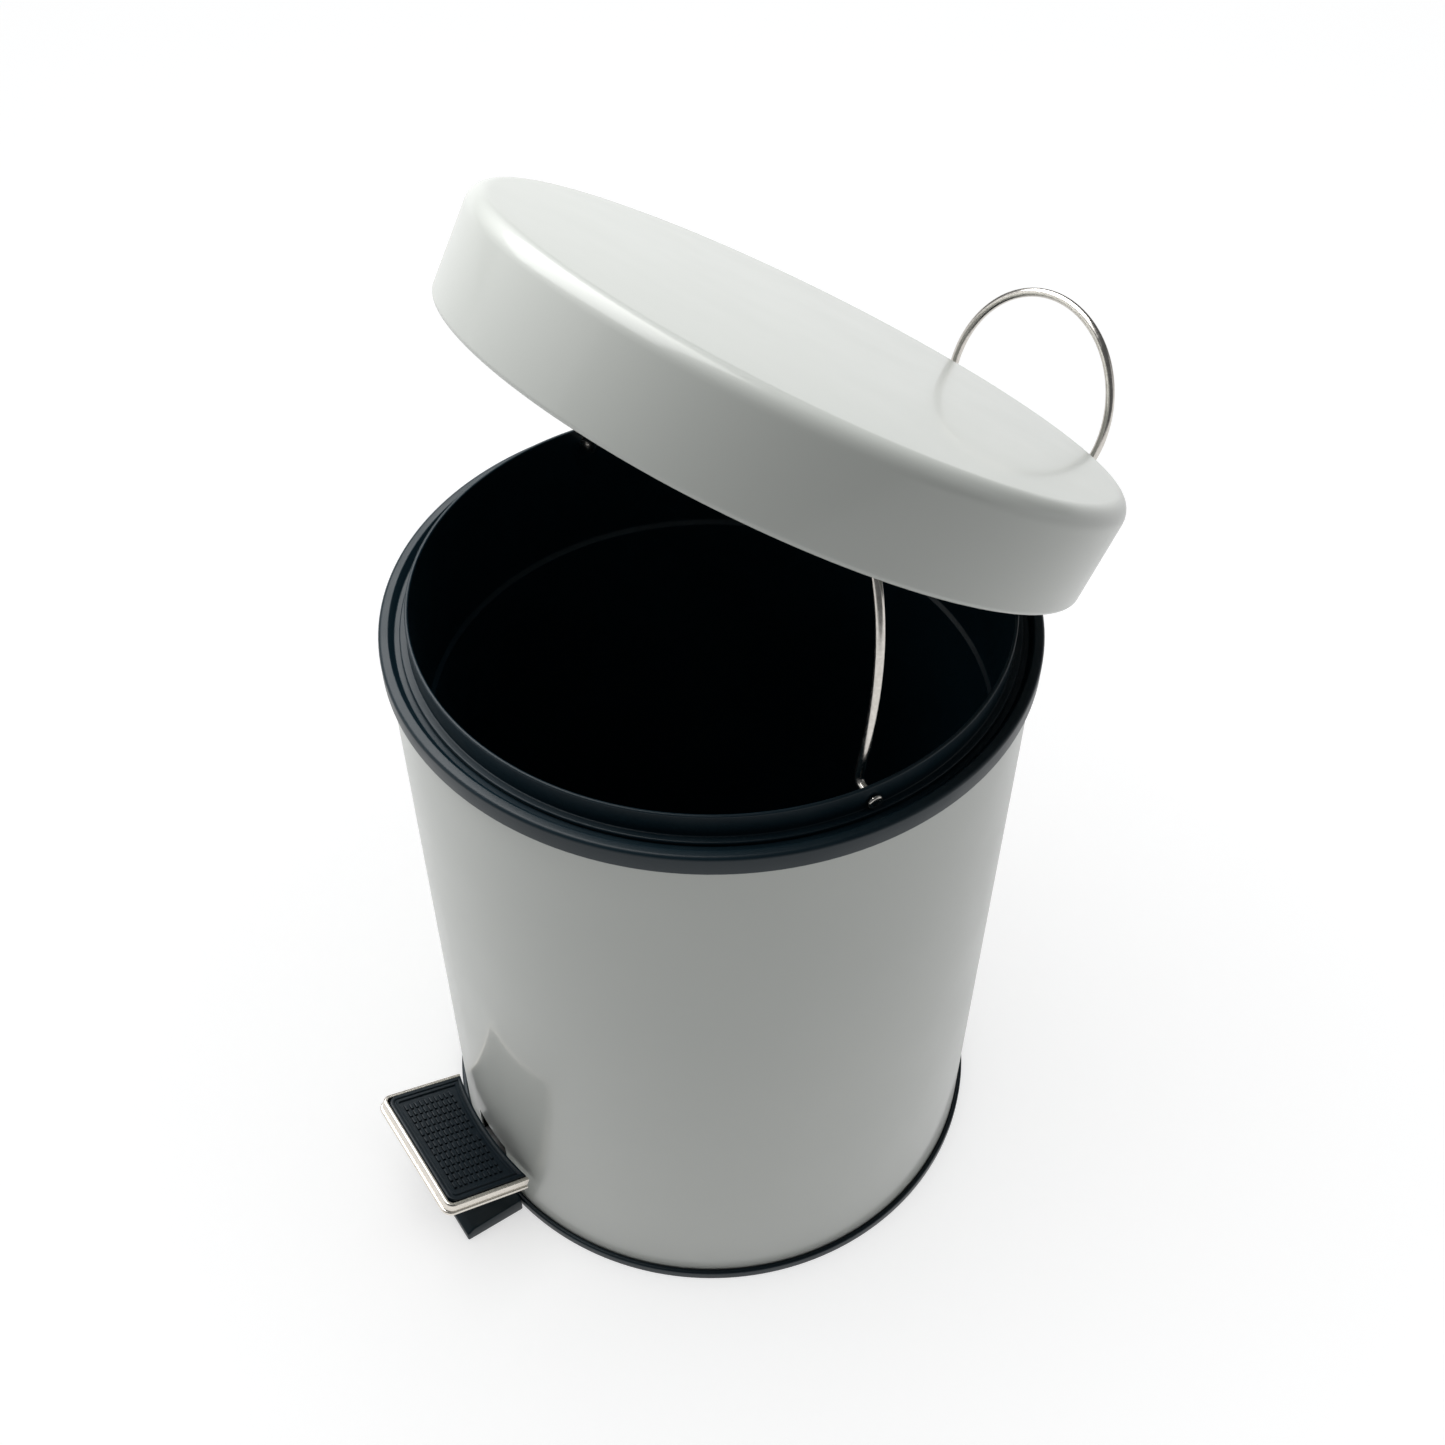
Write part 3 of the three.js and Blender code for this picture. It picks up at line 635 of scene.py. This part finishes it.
def rim_ring(tree, plastic):
    """Ring clipped over the shell's top edge, with a rounded shoulder and a shelf for the bucket."""
    grip = SHELL_R + GAP
    inside = SHELL_IN - GAP
    top = SHELL_TOP + GAP
    under = RING_SHELF - RING_SHELF_DEPTH
    ring = turned(tree, "rim_ring", rounded([
        (grip, RING_LOW, 0.3), (RING_R, RING_LOW, 0.7), (RING_R, RING_TOP, 1.3), (RING_LIP_IN, RING_TOP, 0.6),
        (RING_STEP_R, RING_SHELF, 0.6), (RING_BORE, RING_SHELF, 0.4), (RING_BORE, under, 0.4),
        (RING_LEG_IN, under, 0.4), (RING_LEG_IN, RING_LEG, 0.4), (inside, RING_LEG, 0.4), (inside, top, 0.1),
        (grip, top, 0.1)]))
    notch = block("ring_notch", *RING_NOTCH)
    return dress(combine(ring, "DIFFERENCE", [notch]), plastic, "black_plastic", "bin", "top_ring")


def bucket(tree, plastic):
    """Inner bucket: foot, tapering wall, a step inside, and the collar with its small flange."""
    collar_in = COLLAR_R - BUCKET_WALL
    shelf = RING_SHELF + GAP
    flange_top = shelf + FLANGE_DEPTH
    step_top = BUCKET_STEP + BUCKET_STEP_RISE
    inner_floor = BUCKET_LOW + BUCKET_FLOOR
    body = turned(tree, "inner_bucket_body", rounded([
        (0, BUCKET_LOW, 0), (BUCKET_FOOT_R, BUCKET_LOW, 3), (BUCKET_STEP_R, BUCKET_STEP, 1.5),
        (COLLAR_R, step_top, 1.5), (COLLAR_R, shelf, 0), (FLANGE_R, shelf, 0.5), (FLANGE_R, flange_top, 0.5),
        (COLLAR_R, flange_top, 0.4), (COLLAR_R, COLLAR_TOP, 0.55), (collar_in, COLLAR_TOP, 0.55),
        (collar_in, step_top, 1.0), (BUCKET_STEP_IN, BUCKET_STEP + BUCKET_FLOOR, 0.5),
        (BUCKET_FOOT_R - BUCKET_WALL, inner_floor, 4.5), (0, inner_floor, 0)],
        closed=False), closed=False)
    near, far = BAIL_HOLE_SPAN
    holes = [
        round_bar(f"bail_hole_{side}", bail_point(side * near, 0), bail_point(side * far, 0), BAIL_HOLE_R)
        for side in (1, -1)]
    gap = block("flange_gap", -FLANGE_GAP_HALF, FLANGE_GAP_HALF, COLLAR_R + 0.1, 100, shelf - 1, shelf + 2)
    return dress(combine(body, "DIFFERENCE", [gap, *holes]), plastic, "black_plastic", "bin", "inner_bucket")


def lid(tree, paint):
    """Pressed lid: flat top, round corner, flared skirt and an inward hem; built shut, then opened."""
    top = LID_EDGE + LID_HEIGHT
    cover = turned(tree, "lid_cover", rounded([
        (0, top, 0), (LID_TOP_R, top, LID_CORNER), (LID_R, LID_EDGE, 2.3), (LID_R - LID_HEM, LID_EDGE, 0.2),
        (LID_R - LID_HEM, LID_EDGE + SHEET, 0.2), (LID_R - SHEET, LID_EDGE + SHEET, 1.7),
        (LID_TOP_R - SHEET, top - SHEET, LID_CORNER - SHEET), (0, top - SHEET, 0)],
        closed=False), closed=False)
    cover.data.transform(opened())
    return dress(cover, paint, "paint", "lid", "lid_shell")


def opened():
    """The turn about the hinge from the shut lid to the lid at rest."""
    return Matrix.Translation(HINGE) @ Matrix.Rotation(-LID_OPEN, 4, "X") @ Matrix.Translation(-HINGE)


def bail_point(across, up):
    """A point of the bail's leaning plane, in millimetres."""
    flat = Vector((-BAIL_AXIS.y, BAIL_AXIS.x, 0))
    rise = flat * math.cos(BAIL_LEAN) + Vector((0, 0, math.sin(BAIL_LEAN)))
    return BAIL_AXIS * across + rise * up + Vector((0, 0, BAIL_PIVOT))


def bail(tree, wire):
    """Wire bail: a squarish bow whose ends bend out through the bucket's collar and are upset into heads."""
    power = 2 / BAIL_SQUARENESS
    angles = [math.radians(degrees) for degrees in range(4, 177, 2)]
    bow = [(math.copysign(abs(math.cos(angle)) ** power, math.cos(angle)) * BAIL_HALF,
            math.sin(angle) ** power * BAIL_HEIGHT, 0) for angle in angles]
    line = rounded([
        (BAIL_END, 0, 0), (BAIL_HALF, 0, 3.0), *bow, (-BAIL_HALF, 0, 3.0), (-BAIL_END, 0, 0)], closed=False)
    path = chain("bail_wire", [bail_point(*point) for point in line], closed=False)
    swept = tree.apply(path, None, Wire_Radius=BAIL_WIRE * MM, Sides=WIRE_SIDES)
    dress(bevelled(swept, WIRE_END_EASE), wire, "steel_wire", "bail", "bucket_bail")
    for name, side in (("bail_head_right", 1), ("bail_head_left", -1)):
        inner_end = bail_point(side * (COLLAR_R + GAP), 0)
        head = round_bar(name, inner_end, bail_point(side * BAIL_END, 0), BAIL_HEAD)
        dress(bevelled(head, 0.6), wire, "steel_wire", "bail", "bucket_bail")


def loop_point(x, up):
    """A point of the rear loop's leaning plane, in millimetres."""
    return Vector(LOOP_FOOT) + Vector((x, up * math.sin(LOOP_LEAN), up * math.cos(LOOP_LEAN)))


def rear_loop(tree, wire):
    """Wire loop behind the lid: most of an oval, on two feet in the hinge housing."""
    oval = [(LOOP_HALF_WIDTH * math.cos(angle), LOOP_CENTRE + LOOP_HALF_HEIGHT * math.sin(angle), 0)
            for angle in [math.radians(degrees) for degrees in range(-40, 221, 3)]]
    line = rounded([
        (LOOP_FOOT_X, LOOP_FOOT_DEPTH, 0), (LOOP_FOOT_X, LOOP_FOOT_BEND, 9), *oval,
        (-LOOP_FOOT_X, LOOP_FOOT_BEND, 9), (-LOOP_FOOT_X, LOOP_FOOT_DEPTH, 0)], closed=False)
    path = chain("rear_loop_wire", [loop_point(*point) for point in line], closed=False)
    swept = tree.apply(path, None, Wire_Radius=LOOP_WIRE * MM, Sides=WIRE_SIDES)
    return dress(bevelled(swept, WIRE_END_EASE), wire, "steel_wire", "bin", "handle_loop")


# Pieces of the pedal

def tilted():
    """The tilt of the foot plate about a line across its rear, and its turn with the base."""
    pivot = Vector((0, PEDAL_TURN_Y, PEDAL_TOP)) * MM
    tilt = Matrix.Rotation(-PEDAL_TILT, 4, "X")
    return ASKEW @ Matrix.Translation(pivot) @ tilt @ Matrix.Translation(-pivot)


def plate_edge(inset, corner=PLATE_CORNER):
    """Front and sides of the foot plate's plan, from the right rear round to the left rear."""
    half = PEDAL_HALF - inset
    front = PEDAL_FRONT + inset
    corner = max(corner - inset, 0.8)
    rear = -math.sqrt(PEDAL_REAR_R ** 2 - half ** 2)
    return rounded([
        (half, rear, 0), (half, front, corner), (-half, front, corner), (-half, rear, 0)], closed=False)


def plate_plan(inset, rear_inset, corner=PLATE_CORNER):
    """The whole plan as a closed loop: front and sides, then the rear edge that follows the shell."""
    half = PEDAL_HALF - inset
    radius = PEDAL_REAR_R + rear_inset
    side = plate_edge(inset, corner)
    side[0].y = side[-1].y = -math.sqrt(radius ** 2 - half ** 2)
    swing = math.asin(half / radius)
    rear = [Vector((radius * math.sin(angle), -radius * math.cos(angle)))
            for angle in [swing * (2 * k / PLATE_REAR_STEPS - 1) for k in range(1, PLATE_REAR_STEPS)]]
    return side + rear


def lofted(name, loops):
    """A solid between (plan loop, height) rows of equal length, closed at the first and last row."""
    count = len(loops[0][0])
    vertices = [Vector((x, y, z)) * MM for loop, z in loops for x, y in loop]
    faces = []
    for row in range(len(loops) - 1):
        for i in range(count):
            a, b = row * count + i, row * count + (i + 1) % count
            faces.append((a, b, b + count, a + count))
    faces.append(tuple(reversed(range(count))))
    faces.append(tuple(range((len(loops) - 1) * count, len(loops) * count)))
    return smooth(new_piece(name, vertices, [], faces))


def tray_rim():
    """Section of the tray's rim, as (inset, height from the top): rounded lip, wall and rolled foot."""
    return rounded([
        (2.1, -0.7, 0.1), (2.1, 0, 0.35), (0.55, 0, 1.0), (0.55, -3.1, 0.3), (0.9, -3.45, 0.2),
        (0, -3.6, 0.5), (0, -PEDAL_DEPTH, 0.7), (1.7, -PEDAL_DEPTH, 0.3), (1.7, -0.9, 0.1)])


def foot_plate(finish):
    """Pressed stainless tray: a rim along the front and sides with a rolled lower edge, and a floor."""
    section = tray_rim()
    rows = [[(x, y, PEDAL_TOP + z) for x, y in plate_edge(inset)] for inset, z in section]
    length = len(rows[0])
    vertices = [Vector(point) * MM for row in rows for point in row]
    count = len(section)
    faces = []
    for row in range(count):
        for i in range(length - 1):
            a, b = row * length + i, ((row + 1) % count) * length + i
            faces.append((a, a + 1, b + 1, b))
    faces.append(tuple(row * length for row in range(count)))
    faces.append(tuple(row * length + length - 1 for row in reversed(range(count))))
    rim = smooth(new_piece("foot_plate_rim", vertices, [], faces))
    low = PEDAL_TOP - PEDAL_DEPTH
    floor_plan = plate_plan(1.2, 0)
    floor = lofted("foot_plate_floor", [(floor_plan, low + 0.1), (floor_plan, low + 1)])
    for piece in (rim, floor):
        piece.data.transform(tilted())
        dress(piece, finish, "stainless", "pedal", "pedal_tray")


def foot_pad(tree, rubber):
    """Rubber pad with a raised rounded border and a field of small ribs."""
    top = PEDAL_TOP
    base = top - PEDAL_DEPTH + PAD_THICK
    border = [(0, base), (0, top + 0.05), (0.15, top + 0.3), (0.4, top + 0.4), (1.2, top + 0.4),
              (1.4, top + 0.3), (1.5, top + 0.05), (1.7, top - 0.1), (2.0, top - 0.1), (2.2, top + 0.05),
              (2.4, top + 0.4), (3.0, top + 0.4), (3.2, top + 0.1), (3.4, top - 0.3)]
    pad = lofted("pad_body", [(plate_plan(PAD_INSET + step, step, PAD_CORNER), z) for step, z in border])
    pad.data.transform(tilted())
    dress(pad, rubber, "black_rubber", "pedal", "pedal_pad")
    across, along = RIB_STEP
    points = []
    for row in range(RIB_ROWS):
        for column in RIB_COLUMNS:
            x, y = column * across, PEDAL_FRONT + PAD_INSET + RIB_FIRST + row * along
            if math.hypot(x, y) > PEDAL_REAR_R + RIB_REAR_MARGIN:
                points.append(Vector((x, y, top - 0.2)) * MM)
    seeds = new_piece("pad_rib_field", points, [], [])
    ribs = tree.apply(seeds, None, Rib_Size=RIB_SIZE, Corner_Crease=0.6)
    ribs.data.transform(tilted())
    dress(ribs, rubber, "black_rubber", "pedal", "pedal_pad")


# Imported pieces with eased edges

def eased(node, name, width, finish, slot, body):
    """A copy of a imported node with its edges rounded. Its flats are merged, so that only real edges count,
    and cut into triangles, because rounding tears a hollow face with many corners."""
    piece = new_piece(name, [], [], [])
    mesh = bmesh.new()
    mesh.from_mesh(frame["nodes"][node].data)
    bmesh.ops.remove_doubles(mesh, verts=mesh.verts, dist=1e-6)
    bmesh.ops.dissolve_limit(mesh, angle_limit=math.radians(1), verts=mesh.verts, edges=mesh.edges)
    bmesh.ops.triangulate(mesh, faces=mesh.faces)
    mesh.to_mesh(piece.data)
    mesh.free()
    return dress(bevelled(piece, width), finish, slot, body, node)


def coat_packed(node, finish):
    """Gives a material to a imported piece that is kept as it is."""
    materials = frame["nodes"][node].data.materials
    materials.clear()
    materials.append(finish)


# Stage

def stage_floor(finish):
    """A wide floor under the bin."""
    half = 6.0
    level = cad_low.z
    floor = new_piece("stage_floor", [(-half, -half, level), (half, -half, level), (half, half, level),
                                      (-half, half, level)], [], [(0, 1, 2, 3)])
    floor.data.materials.append(finish)
    return floor


def soft_light(name, place, aim, size, power, reaches):
    """A large area light at a place, turned to an aim point, in metres and watts, that reaches one group."""
    data = bpy.data.lights.new(name, "AREA")
    data.shape = "RECTANGLE"
    data.size, data.size_y = size
    data.energy = power
    lamp = bpy.data.objects.new(name, data)
    lamp.location = place
    lamp.rotation_euler = (Vector(aim) - Vector(place)).to_track_quat("-Z", "Y").to_euler()
    bpy.context.scene.collection.objects.link(lamp)
    lamp.light_linking.receiver_collection = reaches


def floor_group(name, state, floor):
    """A collection that limits a light to the floor (INCLUDE) or keeps it off the floor (EXCLUDE)."""
    group = bpy.data.collections.new(name)
    group.objects.link(floor)
    group.collection_objects[0].light_linking.link_state = state
    return group


def studio(floor):
    """Soft light from above on the left, weaker from both sides; the floor has its own even light."""
    middle = (0, 0, 0.2)
    only_floor = floor_group("only_floor", "INCLUDE", floor)
    not_floor = floor_group("not_floor", "EXCLUDE", floor)
    soft_light("overhead", (-0.45, 0.02, 1.0), middle, size=(1.0, 1.0), power=18, reaches=not_floor)
    soft_light("left_side", (-1.35, -1.35, 1.0), middle, size=(1.8, 1.8), power=8, reaches=not_floor)
    soft_light("right_side", (1.4, 1.4, 0.7), middle, size=(1.2, 1.4), power=3, reaches=not_floor)
    soft_light("floor_light", (0, 0, 4.0), (0, 0, 0), size=(6.0, 6.0), power=190, reaches=only_floor)
    sky_light()


def sky_light():
    """A weak cool light from all round, with a near white backdrop where the camera looks past the floor."""
    backdrop, fill = 0.85, 0.12
    world = bpy.data.worlds.new("studio_world")
    world.use_nodes = True
    sky = Nodes(world.node_tree)
    seen_directly = sky.node("ShaderNodeLightPath", {}, {}, "Is Camera Ray")
    background = world.node_tree.nodes["Background"]
    background.inputs["Color"].default_value = (0.94, 0.97, 1.0, 1)
    sky.feed(background.inputs["Strength"], seen_directly * backdrop + fill)
    bpy.context.scene.world = world
    bpy.context.scene.view_settings.view_transform = "Standard"


def camera():
    """The camera looks down at the bin from its pedal side."""
    data = bpy.data.cameras.new("camera")
    data.lens = 41.65
    data.shift_x = 0.0002
    data.shift_y = -0.0008
    data.sensor_width = 36
    data.clip_start = 0.01
    seen_by = bpy.data.objects.new("camera", data)
    place = Matrix.Translation((0.30226, -0.24302, 0.59058))
    turn = Matrix.Rotation(math.radians(50.69), 4, "Z")
    pitch = Matrix.Rotation(math.radians(44.21), 4, "X")
    roll = Matrix.Rotation(math.radians(0.347), 4, "Z")
    seen_by.matrix_world = place @ (turn @ pitch) @ roll
    bpy.context.scene.collection.objects.link(seen_by)
    bpy.context.scene.camera = seen_by


# The bin

camera()
studio(stage_floor(pale_floor()))

paint = painted_steel()
plastic = black_plastic()
rubber = black_rubber()
wire = bright_wire()
steel = stainless()
zinc = zinc_plate()

turning = turning_tree()
wiring = wire_tree()
ribbing = rib_tree()

shell(turning, paint)
foot_base(turning, plastic)
rim_ring(turning, plastic)
bucket(turning, plastic)
lid(turning, paint)
bail(wiring, wire)
rear_loop(wiring, wire)
foot_plate(steel)
foot_pad(ribbing, rubber)
eased("hinge_bracket", "hinge_housing", 0.6, plastic, "black_plastic", "bin")
eased("lid_hinge_plate", "lid_strap", 0.3, zinc, "zinc_steel", "lid")
eased("pedal_lever", "pedal_arm", 0.4, zinc, "zinc_steel", "pedal")

for node in ("hinge_pin", "bracket_screw_left", "bracket_screw_right", "rod_guide_rivet", "lever_axle",
             "lid_rivet_front", "lid_rivet_rear", "pedal_rivet_left", "pedal_rivet_right", "lift_rod"):
    coat_packed(node, zinc)
coat_packed("rod_guide", plastic)
